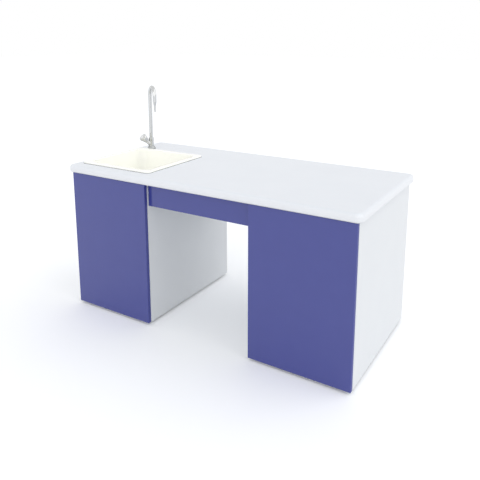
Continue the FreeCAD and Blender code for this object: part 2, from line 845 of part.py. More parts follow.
# Cabinets
def make_cabinet(prefix, start, left_name, right_name):
    """Two sides, floor, back and front rail of one pedestal."""
    inside = start + d.board
    side_span = (d.board, panel_depth, panel_height)
    far_side = start + d.pedestal_width - d.board
    left_side = board(left_name, (start, carcass_front, d.foot_height), side_span)
    right_side = board(right_name, (far_side, carcass_front, d.foot_height), side_span)
    floor_span = (inside_width, panel_depth - d.board, d.board)
    floor = board(f"{prefix}_floor", (inside, carcass_front, d.foot_height), floor_span)
    back_span = (inside_width, d.board, panel_height)
    rear = board(f"{prefix}_back", (inside, back - d.board, d.foot_height), back_span)
    rail_span = (inside_width, d.board, d.rail_height)
    rail = board(f"{prefix}_front_rail", (inside, carcass_front, under_top - d.rail_height), rail_span)
    keep(left_side, left_name)
    keep(right_side, right_name)
    keep(floor, f"{prefix}_floor")
    keep(rear, f"{prefix}_back")
    keep(rail, f"{prefix}_front_rail")
    return left_side, right_side, floor


def cut_service_opening(floor):
    """The way out for the waste and supply pipes, in the sink cabinet's floor."""
    half = d.service_opening / 2
    corner = (drain_x - half, drop_y - half)
    span = (d.service_opening, d.service_opening)
    add_block(floor, (*corner, d.foot_height), (*span, d.board), cut=True)
    round_edges(floor, d.service_corner, upright_at(corner, span))


def make_shelf(left_side, right_side):
    """A loose shelf on four pegs, whose holes are bored in the cabinet's sides."""
    inside = storage_left + d.board
    depth = panel_depth - d.board - d.shelf_setback
    shelf_front = carcass_front + d.shelf_setback
    shelf_low = d.foot_height + d.shelf_height
    shelf_span = (inside_width - d.shelf_side_gap * 2, depth - d.shelf_side_gap, d.board)
    shelf_corner = (inside + d.shelf_side_gap, shelf_front, shelf_low)
    keep(board("storage_shelf", shelf_corner, shelf_span), "storage_shelf")
    peg_height = shelf_low - d.rest_thickness / 2
    far_inside = inside + inside_width
    rest_low = shelf_low - d.rest_thickness
    rest_span = (d.rest_reach, d.rest_width, d.rest_thickness)
    pegs = []
    hole = d.peg_radius + d.peg_fit
    front_y = shelf_front + d.peg_from_edge
    back_y = shelf_front + depth - d.peg_from_edge
    for name, peg_y in (("front", front_y), ("back", back_y)):
        rest_y = peg_y - d.rest_width / 2
        near_foot = (inside - d.peg_depth, peg_y, peg_height)
        far_foot = (far_inside, peg_y, peg_height)
        add_rod(left_side, near_foot, hole, d.peg_depth, ALONG_X, cut=True)
        add_rod(right_side, far_foot, hole, d.peg_depth, ALONG_X, cut=True)
        near = new_body(f"peg_left_{name}")
        add_block(near, (inside, rest_y, rest_low), rest_span)
        add_rod(near, near_foot, d.peg_radius, d.peg_depth, ALONG_X)
        far = new_body(f"peg_right_{name}")
        add_block(far, (far_inside - d.rest_reach, rest_y, rest_low), rest_span)
        add_rod(far, far_foot, d.peg_radius, d.peg_depth, ALONG_X)
        pegs += [near, far]
    group("shelf_pegs", pegs)


# Doors on pivot pins, with push latches at their free edges
pivot_y = door_front + d.door_board / 2
door_low = d.foot_height + d.pivot_clearance
door_height = panel_height - d.plate_thickness - d.pivot_clearance * 2
door_top = door_low + door_height
latch_z = under_top - d.rail_height - d.latch_below_rail
plunger_start = door_back + d.strike_thickness + d.plunger_rest_gap


def make_door(prefix, start, pivot_x, latch_x, bumper_x):
    name = f"{prefix}_door"
    door_span = (d.pedestal_width, d.door_board, door_height)
    door = board(name, (start, door_front, door_low), door_span, d.door_edge)
    hole = d.bush_radius + d.bush_fit
    bush_high = door_top - d.bush_length
    bushes = []
    for end, height in (("lower", door_low), ("upper", bush_high)):
        add_rod(door, (pivot_x, pivot_y, height), hole, d.bush_length, cut=True)
        bore = d.pin_radius + d.pin_running
        place = (pivot_x, pivot_y, height)
        bushes.append(ring(f"{prefix}_{end}_bush", bore, d.bush_radius, d.bush_length, place))
    keep(door, name)
    group(f"{name}_bushes", bushes)
    strike_place = (latch_x, door_back, latch_z)
    strike = disc(f"{name}_strike", d.strike_radius, d.strike_thickness, strike_place, ALONG_Y)
    keep(strike, f"{name}_strike")
    bumpers = []
    for end, height in (("lower", door_low + d.bumper_from_end), ("upper", door_top - d.bumper_from_end)):
        place = (bumper_x, door_back, height)
        bumpers.append(disc(f"{prefix}_{end}_bumper", d.bumper_radius, d.bumper_height, place, ALONG_Y))
    group(f"{name}_bumpers", bumpers)


def make_plunger(prefix, latch_x):
    length = carcass_front + d.latch_setback + d.plunger_depth - plunger_start
    outline = [
        (0, 0),
        (d.plunger_radius - d.plunger_tip, 0),
        (d.plunger_radius, d.plunger_tip),
        (d.plunger_radius, length),
        (0, length),
    ]
    name = f"{prefix}_latch_plunger"
    keep(turned(name, outline, (latch_x, plunger_start, latch_z), ALONG_Y), name)


def make_latch(prefix, latch_x):
    """The latch's body on the cabinet side, bored for its plunger."""
    body = new_body(f"{prefix}_latch")
    front = carcass_front + d.latch_setback
    corner = (latch_x - d.latch_width / 2, front, latch_z - d.latch_height / 2)
    add_block(body, corner, (d.latch_width, d.latch_length, d.latch_height))
    bore = d.plunger_radius + d.plunger_running
    add_rod(body, (latch_x, front, latch_z), bore, d.plunger_depth + d.plunger_rest_gap, ALONG_Y, cut=True)
    return body


def make_hinges(sink_pivot, storage_pivot):
    """Lower plates under the outer sides, upper plates under the worktop, one pin on each."""
    lower_span = (d.board - d.plate_margin * 2, d.door_board + d.door_gap + d.plate_run, d.plate_thickness)
    upper_span = (d.plate_span, d.door_board - d.plate_margin * 2, d.plate_thickness)
    plate_y = door_front + d.plate_margin
    lower_z = d.foot_height - d.plate_thickness
    upper_z = under_top - d.plate_thickness
    plates = [
        block("sink_lower_plate", (left + d.plate_margin, plate_y, lower_z), lower_span),
        block("sink_upper_plate", (left + d.plate_margin, plate_y, upper_z), upper_span),
        block("storage_lower_plate", (right - d.board + d.plate_margin, plate_y, lower_z), lower_span),
        block("storage_upper_plate", (right - d.plate_span - d.plate_margin, plate_y, upper_z), upper_span),
    ]
    group("hinge_plates", plates)
    pins = []
    for prefix, pivot_x in (("sink", sink_pivot), ("storage", storage_pivot)):
        for end, height in (("lower", d.foot_height), ("upper", upper_z - d.pin_length)):
            place = (pivot_x, pivot_y, height)
            pins.append(disc(f"{prefix}_{end}_pin", d.pin_radius, d.pin_length, place))
    group("hinge_pins", pins)


def make_doors():
    sink_pivot = left + d.pivot_inset
    storage_pivot = right - d.pivot_inset
    sink_latch_x = knee_left - d.board - d.latch_width / 2
    storage_latch_x = storage_left + d.board + d.latch_width / 2
    make_door("sink", left, sink_pivot, sink_latch_x, knee_left - d.board / 2)
    make_door("storage", storage_left, storage_pivot, storage_latch_x, storage_left + d.board / 2)
    make_plunger("sink", sink_latch_x)
    make_plunger("storage", storage_latch_x)
    group("push_latches", [make_latch("sink", sink_latch_x), make_latch("storage", storage_latch_x)])
    make_hinges(sink_pivot, storage_pivot)


# Drawer between the cabinets, on three-part slides
drawer_y = door_front + d.drawer_recess
box_y = drawer_y + d.door_board
drawer_low = under_top - d.drawer_top_gap - d.drawer_front_height
box_low = drawer_low + d.drawer_box_rise
box_width = knee_width - d.slide_width * 2
box_left = knee_left + d.slide_width
bottom_low = box_low + d.drawer_bottom_rise
slide_z = box_low + d.drawer_box_height / 2


def make_drawer():
    front_span = (knee_width - d.drawer_side_gap * 2, d.door_board, d.drawer_front_height)
    front_corner = (knee_left + d.drawer_side_gap, drawer_y, drawer_low)
    keep(board("drawer_front", front_corner, front_span, d.door_edge), "drawer_front")
    side_span = (d.drawer_board, d.drawer_depth, d.drawer_box_height)
    right_x = box_left + box_width - d.drawer_board
    groove_low = bottom_low - d.groove_fit
    groove_height = d.drawer_bottom_thickness + d.groove_fit * 2
    groove_width = d.groove_depth + d.groove_fit
    sides = []
    for name, side_x, groove_x in (
        ("drawer_left_side", box_left, box_left + d.drawer_board - groove_width),
        ("drawer_right_side", right_x, right_x),
    ):
        side = board(name, (side_x, box_y, box_low), side_span)
        groove_span = (groove_width, d.drawer_depth, groove_height)
        add_block(side, (groove_x, box_y, groove_low), groove_span, cut=True)
        sides.append(side)
    group("drawer_sides", sides)
    inner_x = box_left + d.drawer_board
    inner_width = box_width - d.drawer_board * 2
    back_low = bottom_low + d.drawer_bottom_thickness
    back_span = (inner_width, d.drawer_board, box_low + d.drawer_box_height - back_low)
    back_y = box_y + d.drawer_depth - d.drawer_board
    keep(board("drawer_back", (inner_x, back_y, back_low), back_span), "drawer_back")
    bottom_span = (inner_width + d.groove_depth * 2, d.drawer_depth, d.drawer_bottom_thickness)
    bottom = block("drawer_bottom_sheet", (inner_x - d.groove_depth, box_y, bottom_low), bottom_span)
    keep(bottom, "drawer_bottom")


def channel(name, web_x, depth, height, opens_right):
    """One steel channel of a slide: its web stands at web_x and its flanges reach over depth."""
    start = box_y + d.slide_setback
    low = slide_z - height / 2
    corner_x = web_x if opens_right else web_x - depth
    outside = block(f"{name}_outside", (corner_x, start, low), (depth, d.slide_length, height))
    hollow_x = web_x + d.slide_steel if opens_right else web_x - depth
    hollow_span = (depth - d.slide_steel, d.slide_length, height - d.slide_steel * 2)
    hollow = block(f"{name}_hollow", (hollow_x, start, low + d.slide_steel), hollow_span)
    rail = doc.addObject("Part::Cut", name)
    rail.Base = outside
    rail.Tool = hollow
    return rail


def make_slides():
    """Cabinet rail, middle rail with its ball cages and drawer rail, at both ends of the drawer."""
    ball_space = d.cage_thickness + d.slide_running
    middle_height = d.slide_height - (d.slide_steel + ball_space) * 2
    inner_height = middle_height - (d.slide_steel + ball_space) * 2
    middle_step = d.slide_steel + d.slide_web_gap
    cage_step = middle_step + d.slide_steel + d.cage_inset
    cage_span = (d.cage_width, d.slide_length, d.cage_thickness)
    knee_right = knee_left + knee_width
    cabinet_rails = []
    middle_rails = []
    drawer_rails = []
    cages = []
    for side, face, outward in (("left", knee_left, 1), ("right", knee_right, -1)):
        opens = outward > 0
        middle_x = face + middle_step * outward
        drawer_x = face + d.slide_width * outward
        cage_x = face + cage_step if opens else face - cage_step - d.cage_width
        cabinet_rails.append(channel(f"{side}_cabinet_rail", face, d.slide_flange, d.slide_height, opens))
        middle_rails.append(channel(f"{side}_middle_rail", middle_x, d.slide_flange, middle_height, opens))
        drawer_rails.append(channel(f"{side}_drawer_rail", drawer_x, d.slide_flange, inner_height, not opens))
        half = middle_height / 2
        inset = half - d.slide_steel
        levels = {
            "above": slide_z + half,
            "below": slide_z - half - d.cage_thickness,
            "upper_inside": slide_z + inset - d.cage_thickness,
            "lower_inside": slide_z - inset,
        }
        for place, level in levels.items():
            corner = (cage_x, box_y + d.slide_setback, level)
            cages.append(block(f"{side}_cage_{place}", corner, cage_span))
    group("slide_cabinet_rails", cabinet_rails)
    group("slide_middle_rails", middle_rails)
    group("slide_drawer_rails", drawer_rails)
    group("slide_ball_cages", cages)


# Pieces that tie the desk together
def make_apron():
    corner = (knee_left, back - d.apron_setback - d.board, under_top - d.apron_height)
    keep(board("rear_apron", corner, (knee_width, d.board, d.apron_height)), "rear_apron")


def make_corner_blocks():
    """Moulded blocks in the corners under the worktop."""
    span = (d.block_side, d.block_side, d.block_side)
    low = under_top - d.block_side
    blocks = []
    for prefix, start in (("sink", left), ("storage", storage_left)):
        near_x = start + d.board
        far_x = start + d.pedestal_width - d.board - d.block_side
        front_y = carcass_front + d.board
        rear_y = back - d.board - d.block_side
        for place, x, y in (
            ("front_left", near_x, front_y),
            ("front_right", far_x, front_y),
            ("back_left", near_x, rear_y),
            ("back_right", far_x, rear_y),
        ):
            blocks.append(block(f"{prefix}_{place}_block", (x, y, low), span))
    group("corner_blocks", blocks)


def make_glides():
    """Low glides under the cabinet floors."""
    outline = [
        (0, 0),
        (d.glide_foot_radius - d.glide_bevel, 0),
        (d.glide_foot_radius, d.glide_bevel),
        (d.glide_radius, d.foot_height - d.glide_bevel),
        (d.glide_radius, d.foot_height),
        (0, d.foot_height),
    ]
    inset = d.board + d.glide_from_side
    glides = []
    for prefix, start in (("sink", left), ("storage", storage_left)):
        for place, x in (("left", start + inset), ("right", start + d.pedestal_width - inset)):
            for end, y in (("front", carcass_front + d.glide_from_end), ("back", back - d.glide_from_end)):
                glides.append(turned(f"{prefix}_{place}_{end}_glide", outline, (x, y, 0)))
    group("glides", glides)


def check(items):
    """Stop if anything in the model failed or a piece has no sound shape."""
    for item in items:
        if "Invalid" in item.State or "Error" in item.State:
            raise RuntimeError(f"{item.Name} did not rebuild")
    for piece in nodes:
        if piece.Shape.isNull() or not piece.Shape.isValid() or not piece.Shape.Solids:
            raise RuntimeError(f"{piece.Label} has no valid shape")


make_worktop()
make_sink()
make_sink_seal()
make_sink_clips()
make_drain()
make_trap()
make_waste()
make_tap_fixings()
make_tap_body()
make_collar()
make_spout()
make_nozzle()
make_valve()
sink_cabinet = make_cabinet("sink", left, "sink_outer_side", "sink_inner_side")
cut_service_opening(sink_cabinet[2])
storage_cabinet = make_cabinet("storage", storage_left, "storage_inner_side", "storage_outer_side")
make_shelf(storage_cabinet[0], storage_cabinet[1])
make_doors()
make_drawer()
make_slides()
make_apron()
make_corner_blocks()
make_glides()

doc.recompute()
check(doc.Objects)
os.makedirs("parts", exist_ok=True)
for piece in nodes:
    piece.Shape.exportStep(f"parts/{piece.Label}.step")
print(len(nodes), "pieces written")
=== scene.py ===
import json
import math

import bmesh
import bpy
from mathutils import Matrix, Vector


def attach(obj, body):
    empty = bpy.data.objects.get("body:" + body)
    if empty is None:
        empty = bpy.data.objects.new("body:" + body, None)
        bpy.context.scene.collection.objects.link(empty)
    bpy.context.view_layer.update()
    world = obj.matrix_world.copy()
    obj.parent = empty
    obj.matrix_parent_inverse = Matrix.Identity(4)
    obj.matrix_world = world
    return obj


# Laboratory teacher desk: finishes, small fittings, stage, light and camera.
# Metres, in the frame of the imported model: X along the desk, the user at -Y, Z up.

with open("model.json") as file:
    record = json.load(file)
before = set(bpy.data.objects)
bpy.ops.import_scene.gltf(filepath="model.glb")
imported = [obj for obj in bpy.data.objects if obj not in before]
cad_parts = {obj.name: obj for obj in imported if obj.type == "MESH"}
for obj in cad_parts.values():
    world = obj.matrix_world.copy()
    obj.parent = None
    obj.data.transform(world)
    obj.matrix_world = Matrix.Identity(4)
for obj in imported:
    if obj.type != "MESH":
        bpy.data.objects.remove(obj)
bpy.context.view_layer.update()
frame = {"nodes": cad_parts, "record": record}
nodes = frame["nodes"]

MM = 0.001

# Camera, fitted to the corners of the photographed desk
CAMERA_PLACE = (1.4051, -2.2333, 1.3871)
CAMERA_PITCH = 11.51
CAMERA_YAW = 31.68
CAMERA_LENS = 41.81
CAMERA_SHIFT = -0.19
SENSOR_WIDTH = 36.0
SIGHT_LIMIT = 200.0

# Studio: levels at which a colour renders about as it is written
WHITE = (1.0, 1.0, 1.0, 1.0)
DOME_LEVEL = 0.83
SEEN_LEVEL = 1.0
KEY_LEVEL = 0.75
KEY_SPREAD = 70
KEY_DIRECTION = (-0.9, -0.3, -0.75)
FILL_LEVEL = 0.84
FILL_SPREAD = 60
FILL_DIRECTION = (-0.2, 0.9, -0.22)

# Floor: grey in the light that it throws back on the desk, nearly white where it is seen, and there it
# glows a little so that the desk's shadow stays pale
FLOOR_SIZE = 60.0
FLOOR_COLOUR = "#CACBCD"
FLOOR_SEEN_COLOUR = "#FAFCFF"
FLOOR_LIFT = 0.095


def linear(hex_colour):
    """An sRGB hex colour as linear RGBA."""
    channels = [int(hex_colour[start:start + 2], 16) / 255 for start in (1, 3, 5)]
    return [c / 12.92 if c <= 0.04045 else ((c + 0.055) / 1.055) ** 2.4 for c in channels] + [1.0]


def per_metre(size_mm):
    """Texture scale that repeats about every size_mm millimetres on Object coordinates."""
    return 1000.0 / size_mm


def add_node(tree, kind, inputs=None, **settings):
    """Add a node. Settings are its own properties; inputs are values, or sockets to link from."""
    node = tree.nodes.new(kind)
    for name, value in settings.items():
        setattr(node, name, value)
    for name, value in (inputs or {}).items():
        if isinstance(value, bpy.types.NodeSocket):
            tree.links.new(value, node.inputs[name])
        else:
            node.inputs[name].default_value = value
    return node


# A colour Mix node has its two colours on sockets 6 and 7 and its result on output 2.
COLOUR_A = 6
COLOUR_B = 7
COLOUR_RESULT = 2


def start_finish(name, fixed):
    """A material with one Principled surface, whose even values are set on its own sockets."""
    finish = bpy.data.materials.new(name)
    finish.use_nodes = True
    tree = finish.node_tree
    tree.nodes.clear()
    surface = add_node(tree, "ShaderNodeBsdfPrincipled", fixed)
    add_node(tree, "ShaderNodeOutputMaterial", {"Surface": surface.outputs["BSDF"]})
    place = add_node(tree, "ShaderNodeTexCoord").outputs["Object"]
    return finish, tree, surface, place


def link_finish(tree, surface, tone, gloss, relief):
    """Give a surface its colour, its roughness and its relief."""
    tree.links.new(tone.outputs[COLOUR_RESULT], surface.inputs["Base Color"])
    tree.links.new(gloss.outputs["Result"], surface.inputs["Roughness"])
    tree.links.new(relief.outputs["Normal"], surface.inputs["Normal"])


def worktop_laminate():
    # High-pressure laminate pressed against a fine pearl plate: cool white, satin and very even. Its
    # rounded edges and its underside are painted paler, the more so the further they face down: painted
    # light on them.
    # The pearl is under 1 mm, so it is drawn at 5 mm to show at all.
    fixed = {"IOR": 1.5, "Coat Weight": 0.12, "Coat Roughness": 0.2}
    finish, tree, surface, place = start_finish("worktop_laminate", fixed)
    cloud = add_node(tree, "ShaderNodeTexNoise", {"Vector": place, "Scale": per_metre(160), "Detail": 3.0})
    pearl = add_node(tree, "ShaderNodeTexNoise", {"Vector": place, "Scale": per_metre(5), "Detail": 2.0})
    flat_tone = add_node(
        tree,
        "ShaderNodeMix",
        {"Factor": cloud.outputs["Fac"], COLOUR_A: linear("#DDE1E8"), COLOUR_B: linear("#E2E6EC")},
        data_type="RGBA",
    )
    facing = add_node(tree, "ShaderNodeNewGeometry").outputs["True Normal"]
    upward = add_node(tree, "ShaderNodeSeparateXYZ", {"Vector": facing}).outputs["Z"]
    # Painted light: the colour turns paler as the surface turns down, lifting the shade on the edges and
    # underside
    painted_edge_light = add_node(
        tree,
        "ShaderNodeMapRange",
        {"Value": upward, "From Min": 0.9, "From Max": -0.3},
    )
    tone = add_node(
        tree,
        "ShaderNodeMix",
        {
            "Factor": painted_edge_light.outputs["Result"],
            COLOUR_A: flat_tone.outputs[COLOUR_RESULT],
            COLOUR_B: linear("#F4F6FA"),
        },
        data_type="RGBA",
    )
    gloss = add_node(
        tree,
        "ShaderNodeMapRange",
        {"Value": pearl.outputs["Fac"], "To Min": 0.3, "To Max": 0.42},
    )
    relief = add_node(
        tree,
        "ShaderNodeBump",
        {"Height": pearl.outputs["Fac"], "Strength": 0.06, "Distance": 0.2 * MM},
    )
    link_finish(tree, surface, tone, gloss, relief)
    return finish


def melamine_board():
    # Chipboard faced with white melamine paper: a fine matt grain and a faint cloudiness.
    # The grain is about 0.3 mm, drawn at 4 mm to show.
    fixed = {"IOR": 1.5}
    finish, tree, surface, place = start_finish("melamine_board", fixed)
    cloud = add_node(tree, "ShaderNodeTexNoise", {"Vector": place, "Scale": per_metre(120), "Detail": 4.0})
    grain = add_node(tree, "ShaderNodeTexNoise", {"Vector": place, "Scale": per_metre(4), "Detail": 3.0})
    tone = add_node(
        tree,
        "ShaderNodeMix",
        {"Factor": cloud.outputs["Fac"], COLOUR_A: linear("#E9ECF0"), COLOUR_B: linear("#EDF0F3")},
        data_type="RGBA",
    )
    gloss = add_node(
        tree,
        "ShaderNodeMapRange",
        {"Value": grain.outputs["Fac"], "To Min": 0.42, "To Max": 0.56},
    )
    relief = add_node(
        tree,
        "ShaderNodeBump",
        {"Height": grain.outputs["Fac"], "Strength": 0.08, "Distance": 0.2 * MM},
    )
    link_finish(tree, surface, tone, gloss, relief)
    return finish


def gloss_front():
    # Indigo high-gloss acrylic sheet on board: deep colour under a thin clear layer that mirrors, with the
    # slight waviness of a pressed sheet. The edges have a satin band of the same colour and no clear layer.
    fixed = {"IOR": 1.5, "Coat Roughness": 0.08}
    finish, tree, surface, place = start_finish("gloss_front", fixed)
    cloud = add_node(tree, "ShaderNodeTexNoise", {"Vector": place, "Scale": per_metre(90), "Detail": 3.0})
    wave = add_node(tree, "ShaderNodeTexNoise", {"Vector": place, "Scale": per_metre(45), "Detail": 1.0})
    tone = add_node(
        tree,
        "ShaderNodeMix",
        {"Factor": cloud.outputs["Fac"], COLOUR_A: linear("#3F4692"), COLOUR_B: linear("#434A97")},
        data_type="RGBA",
    )
    facing = add_node(tree, "ShaderNodeTexCoord").outputs["Normal"]
    frontal = add_node(tree, "ShaderNodeSeparateXYZ", {"Vector": facing}).outputs["Y"]
    flat = add_node(tree, "ShaderNodeMath", {0: frontal}, operation="ABSOLUTE")
    face = add_node(
        tree,
        "ShaderNodeMapRange",
        {"Value": flat.outputs[0], "From Min": 0.9, "From Max": 0.99},
    )
    polish = add_node(
        tree,
        "ShaderNodeMapRange",
        {"Value": cloud.outputs["Fac"], "To Min": 0.07, "To Max": 0.13},
    )
    gloss = add_node(
        tree,
        "ShaderNodeMapRange",
        {"Value": face.outputs["Result"], "To Min": 0.5, "To Max": polish.outputs["Result"]},
    )
    clear_layer = add_node(
        tree,
        "ShaderNodeMapRange",
        {"Value": face.outputs["Result"], "To Min": 0.0, "To Max": 0.35},
    )
    relief = add_node(
        tree,
        "ShaderNodeBump",
        {"Height": wave.outputs["Fac"], "Strength": 0.05, "Distance": 0.3 * MM},
    )
    link_finish(tree, surface, tone, gloss, relief)
    tree.links.new(clear_layer.outputs["Result"], surface.inputs["Coat Weight"])
    tree.links.new(relief.outputs["Normal"], surface.inputs["Coat Normal"])
    return finish


def moulded_sink():
    # Cream-white moulded composite with a glossy gel face: light bounces about in the bowl and warms it,
    # and the gel has a faint orange peel. The peel is 2 or 3 mm, drawn at 8 mm to show.
    fixed = {"IOR": 1.5, "Coat Weight": 0.6, "Coat Roughness": 0.06}
    finish, tree, surface, place = start_finish("moulded_sink", fixed)
    cloud = add_node(tree, "ShaderNodeTexNoise", {"Vector": place, "Scale": per_metre(60), "Detail": 3.0})
    peel = add_node(tree, "ShaderNodeTexNoise", {"Vector": place, "Scale": per_metre(8), "Detail": 1.0})
    tone = add_node(
        tree,
        "ShaderNodeMix",
        {"Factor": cloud.outputs["Fac"], COLOUR_A: linear("#FEFEF7"), COLOUR_B: linear("#FFFFFA")},
        data_type="RGBA",
    )
    gloss = add_node(
        tree,
        "ShaderNodeMapRange",
        {"Value": cloud.outputs["Fac"], "To Min": 0.16, "To Max": 0.26},
    )
    relief = add_node(
        tree,
        "ShaderNodeBump",
        {"Height": peel.outputs["Fac"], "Strength": 0.05, "Distance": 0.1 * MM},
    )
    link_finish(tree, surface, tone, gloss, relief)
    tree.links.new(relief.outputs["Normal"], surface.inputs["Coat Normal"])
    return finish


def plated_metal(name, dark, light, smooth, rough, streak_mm):
    """Metal with fine upright streaks, faintly raised, that vary its colour and its gloss."""
    # The streaks are about 0.2 mm wide, drawn at streak_mm to show.
    finish, tree, surface, place = start_finish(name, {"Metallic": 1.0})
    stretch = add_node(tree, "ShaderNodeMapping", {"Vector": place, "Scale": (1.0, 1.0, 0.12)})
    streak = add_node(
        tree,
        "ShaderNodeTexNoise",
        {"Vector": stretch.outputs["Vector"], "Scale": per_metre(streak_mm), "Detail": 4.0},
    )
    tone = add_node(
        tree,
        "ShaderNodeMix",
        {"Factor": streak.outputs["Fac"], COLOUR_A: linear(dark), COLOUR_B: linear(light)},
        data_type="RGBA",
    )
    gloss = add_node(
        tree,
        "ShaderNodeMapRange",
        {"Value": streak.outputs["Fac"], "To Min": smooth, "To Max": rough},
    )
    relief = add_node(
        tree,
        "ShaderNodeBump",
        {"Height": streak.outputs["Fac"], "Strength": 0.05, "Distance": 0.03 * MM},
    )
    link_finish(tree, surface, tone, gloss, relief)
    return finish


def zinc_plate():
    # Bright zinc on pressed steel: bluish, with a faint patchy spangle a few millimetres across.
    finish, tree, surface, place = start_finish("zinc_plate", {"Metallic": 1.0})
    spangle = add_node(tree, "ShaderNodeTexVoronoi", {"Vector": place, "Scale": per_metre(6)})
    tone = add_node(
        tree,
        "ShaderNodeMix",
        {"Factor": spangle.outputs["Distance"], COLOUR_A: linear("#BFC4C9"), COLOUR_B: linear("#D3D7DA")},
        data_type="RGBA",
    )
    gloss = add_node(
        tree,
        "ShaderNodeMapRange",
        {"Value": spangle.outputs["Distance"], "To Min": 0.24, "To Max": 0.4},
    )
    relief = add_node(
        tree,
        "ShaderNodeBump",
        {"Height": spangle.outputs["Distance"], "Strength": 0.05, "Distance": 0.05 * MM},
    )
    link_finish(tree, surface, tone, gloss, relief)
    return finish


def moulded(name, dark, light, smooth, rough, grain_mm, fixed):
    """A moulded plastic or rubber with a fine eroded grain from its tool."""
    # The grain is about 0.2 mm, drawn at grain_mm to show.
    finish, tree, surface, place = start_finish(name, fixed)
    grain = add_node(
        tree,
        "ShaderNodeTexNoise",
        {"Vector": place, "Scale": per_metre(grain_mm), "Detail": 3.0},
    )
    tone = add_node(
        tree,
        "ShaderNodeMix",
        {"Factor": grain.outputs["Fac"], COLOUR_A: linear(dark), COLOUR_B: linear(light)},
        data_type="RGBA",
    )
    gloss = add_node(
        tree,
        "ShaderNodeMapRange",
        {"Value": grain.outputs["Fac"], "To Min": smooth, "To Max": rough},
    )
    relief = add_node(
        tree,
        "ShaderNodeBump",
        {"Height": grain.outputs["Fac"], "Strength": 0.1, "Distance": 0.1 * MM},
    )
    link_finish(tree, surface, tone, gloss, relief)
    return finish


finishes = {
    "worktop_laminate": worktop_laminate(),
    "white_board": melamine_board(),
    "indigo_front": gloss_front(),
    "sink_white": moulded_sink(),
    # Satin chrome on brass: grey in white surroundings, with soft polishing streaks
    "tap_chrome": plated_metal("satin_chrome", "#C4C5C5", "#D2D3D3", 0.14, 0.24, 3),
    # Pale grey ABS button, polished in its tool
    "handle_cap_grey": moulded("button_plastic", "#E2E4E5", "#EBECED", 0.18, 0.26, 2, {"IOR": 1.54}),
    # Stainless steel with brushed streaks
    "stainless": plated_metal("brushed_stainless", "#B4B6B8", "#CACCCD", 0.22, 0.4, 1.5),
    "zinc_steel": zinc_plate(),
    # Black rubber: nearly no gloss
    "black_rubber": moulded("gasket_rubber", "#161616", "#202020", 0.7, 0.85, 1, {"IOR": 1.52}),
    # White polypropylene: waxy
    "white_plastic": moulded("white_polypropylene", "#E4E4E0", "#ECECE9", 0.34, 0.46, 2, {"IOR": 1.49}),
    # Grey nylon: dry and even
    "grey_plastic": moulded("grey_nylon", "#898C90", "#989B9F", 0.45, 0.6, 1.5, {"IOR": 1.53}),
    # Clear bumper rubber: milky, lets light through
    "clear_rubber": moulded(
        "bumper_rubber", "#E6E7E8", "#F2F3F3", 0.2, 0.35, 1, {"IOR": 1.48, "Transmission Weight": 0.55}
    ),
}

for subpart in frame["record"]["subparts"]:
    piece = nodes[subpart["node"]]
    piece.data.materials.clear()
    piece.data.materials.append(finishes[subpart["material_slot"]])

# The flange is brushed on the lathe before it is plated, so it is duller than the polished tube. Its colour
# is also painted darker than the tube's, as painted shade that dims its highlight at the tap's base.
nodes["tap_flange"].data.materials[0] = plated_metal("brushed_flange_painted_shade", "#A2A4A4", "#B2B4B4", 0.4, 0.5, 2)


# Small fittings, in millimetres until they are placed
BACKWARD = (0, 1, 0)
UPWARD = (0, 0, 1)
DOWNWARD = (0, 0, -1)
SIDES = (-1, 1)
SHARP_ANGLE = 35

# Faces that the fittings sit on
APRON_BACK = 292.5
CABINET_FLOOR = 28.0
RAIL_BACK = -311.5
LATCH_FACE = 310
BLOCK_UNDERSIDE = 692
CLIP_UNDERSIDE = 704
DRAWER_RAIL_FACE = 268.2

# Covers of the cam fittings that pull the boards together
APRON_CAPS = [((x, APRON_BACK, z), BACKWARD) for x in (-252, 252) for z in (634, 690)]
FLOOR_CAPS = [((x, y, CABINET_FLOOR), UPWARD) for x in (-710, -320, 320, 710) for y in (-270, 300)]
RAIL_CAPS = [((x, RAIL_BACK, 660), BACKWARD) for x in (-708, -322, 322, 708)]

# Screws of the latches, corner blocks, sink clips and drawer rails
LATCH_SCREWS = [((side * LATCH_FACE, y, 607), (side, 0, 0)) for side in SIDES for y in (-306, -274)]
BLOCK_SCREWS = [
    ((x, y, BLOCK_UNDERSIDE), DOWNWARD) for x in (-724, -306, 306, 724) for y in (-301.5, 326.5)
]
CLIP_SCREWS = [
    ((x, y, CLIP_UNDERSIDE), DOWNWARD)
    for x, y in ((-515, -286.5), (-515, 132.5), (-721, -77), (-309, -77))
]
RAIL_SCREWS = [
    ((side * DRAWER_RAIL_FACE, y, 655), (side, 0, 0)) for side in SIDES for y in (-270, -80, 110)
]


def make_head(radius, height, bevel, dimple, depth, segments):
    """The mesh of one low turned head that stands on z = 0, with a dimple in its top."""
    shape = bmesh.new()
    bmesh.ops.create_circle(shape, cap_ends=True, segments=segments, radius=radius * MM)
    grown = bmesh.ops.extrude_face_region(shape, geom=shape.faces[:], use_keep_orig=True)
    raised = [item for item in grown["geom"] if isinstance(item, bmesh.types.BMVert)]
    bmesh.ops.translate(shape, verts=raised, vec=(0.0, 0.0, height * MM))
    top = [face for face in shape.faces if min(vert.co.z for vert in face.verts) > 0.0]
    bmesh.ops.bevel(
        shape,
        geom=list(top[0].edges),
        offset=bevel * MM,
        segments=3,
        profile=0.5,
        affect="EDGES",
        material=-1,
    )
    shape.faces.ensure_lookup_table()
    top = max(shape.faces, key=lambda face: face.calc_center_median().z)
    bmesh.ops.inset_region(shape, faces=[top], thickness=(radius - bevel - dimple) * MM)
    bmesh.ops.inset_region(shape, faces=[top], thickness=dimple * 0.2 * MM, depth=-depth * MM)
    bmesh.ops.recalc_face_normals(shape, faces=shape.faces[:])
    mesh = bpy.data.meshes.new("head")
    shape.to_mesh(mesh)
    shape.free()
    return mesh


